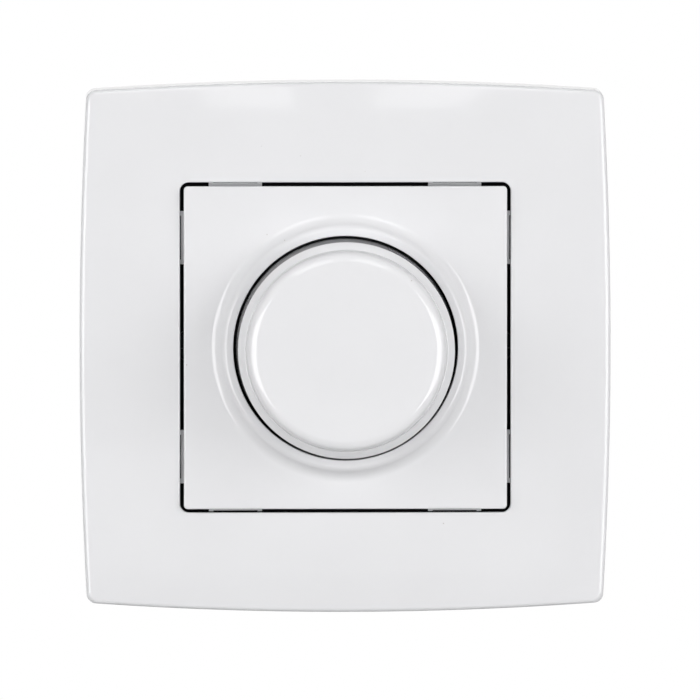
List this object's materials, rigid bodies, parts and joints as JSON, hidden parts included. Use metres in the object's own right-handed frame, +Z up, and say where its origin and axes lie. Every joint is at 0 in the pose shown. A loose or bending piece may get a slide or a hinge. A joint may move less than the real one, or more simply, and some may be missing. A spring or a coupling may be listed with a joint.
{
  "type": "rotary dimmer switch",
  "caption": "White flush-mounted rotary dimmer: bowed square cover frame, square centre plate with a round collar, and a round knob that is turned to dim and pushed to switch.",
  "frame": {"origin": "on the knob's axis, in the plane of the wall's surface, midway between the wall screw slots", "axes": "+Z up, +X right as seen from the room, +Y into the wall, so the knob faces -Y"},
  "size_m": [0.082, 0.0486, 0.082],
  "materials": {
    "frame_white": "gloss",
    "plate_white": "gloss",
    "knob_white": "gloss",
    "zinc_steel": "satin",
    "spring_steel": "satin",
    "housing_dark": "matte",
    "brass": "satin",
    "nickel": "satin",
    "wafer_brown": "matte",
    "moulding_cream": "matte",
    "board_green": "satin",
    "aluminium": "satin",
    "package_black": "matte",
    "film_yellow": "gloss",
    "ceramic": "matte",
    "resistor_tan": "matte",
    "trimmer_blue": "matte",
    "glass_red": "gloss",
    "ferrite": "matte",
    "copper": "gloss"
  },
  "bodies": {
    "base": {"cover_frame": "frame_white", "centre_plate": "plate_white", "support_plate": "zinc_steel", "plate_screws": "zinc_steel", "housing": "housing_dark", "housing_lid": "housing_dark", "pot_bushing": "brass", "bushing_washer": "zinc_steel", "bushing_nut": "brass", "pot_can": "zinc_steel", "track_wafer": "wafer_brown", "pot_pins": "nickel", "switch_body": "moulding_cream", "plunger_spring": "spring_steel", "circuit_board": "board_green", "heat_sink": "aluminium", "triac": "package_black", "triac_screw": "zinc_steel", "film_capacitor": "film_yellow", "fuse": "ceramic", "fuse_clips": "nickel", "trim_potentiometer": "trimmer_blue", "resistors": "resistor_tan", "diac": "glass_red", "choke_core": "ferrite", "choke_winding": "copper", "terminal_block": "moulding_cream", "terminal_clamps": "brass", "terminal_screws": "nickel"},
    "wiper": {"wiper_rotor": "moulding_cream", "wiper_contact": "spring_steel"},
    "knob": {"knob": "knob_white", "knob_spring_clip": "spring_steel", "pot_shaft": "nickel"},
    "plunger": {"switch_plunger": "moulding_cream"},
    "claw_left": {"claw_left": "zinc_steel"},
    "claw_right": {"claw_right": "zinc_steel"},
    "claw_screw_left": {"claw_screw_left": "zinc_steel"},
    "claw_screw_right": {"claw_screw_right": "zinc_steel"}
  },
  "joints": [
    {"name": "knob_turn", "type": "hinge", "parent": "base", "child": "wiper", "pos_m": [0, 0, 0], "axis": [0, 1, 0], "range_deg": [-135, 135]},
    {"name": "knob_push", "type": "slide", "parent": "wiper", "child": "knob", "axis": [0, 1, 0], "range_m": [0, 0.0015], "stiffness_N_per_m": 1500, "springref_m": -0.001},
    {"name": "plunger_push", "type": "slide", "parent": "base", "child": "plunger", "axis": [0, 1, 0], "range_m": [0, 0.0015], "deforming": ["plunger_spring"]},
    {"name": "claw_screw_left_turn", "type": "hinge", "parent": "base", "child": "claw_screw_left", "pos_m": [-0.0235, 0, 0], "axis": [0, 1, 0], "range_deg": [0, 820]},
    {"name": "claw_left_swing", "type": "hinge", "parent": "base", "child": "claw_left", "pos_m": [-0.0198, 0.004, 0], "axis": [0, 0, 1], "range_deg": [0, 18]},
    {"name": "claw_screw_right_turn", "type": "hinge", "parent": "base", "child": "claw_screw_right", "pos_m": [0.0235, 0, 0], "axis": [0, 1, 0], "range_deg": [0, 820]},
    {"name": "claw_right_swing", "type": "hinge", "parent": "base", "child": "claw_right", "pos_m": [0.0198, 0.004, 0], "axis": [0, 0, -1], "range_deg": [0, 18]}
  ],
  "couplings": [
    {"joint": "plunger_push", "follows": "knob_push", "ratio": 1},
    {"joint": "claw_left_swing", "follows": "claw_screw_left_turn", "ratio": 0.0219},
    {"joint": "claw_right_swing", "follows": "claw_screw_right_turn", "ratio": 0.0219}
  ]
}
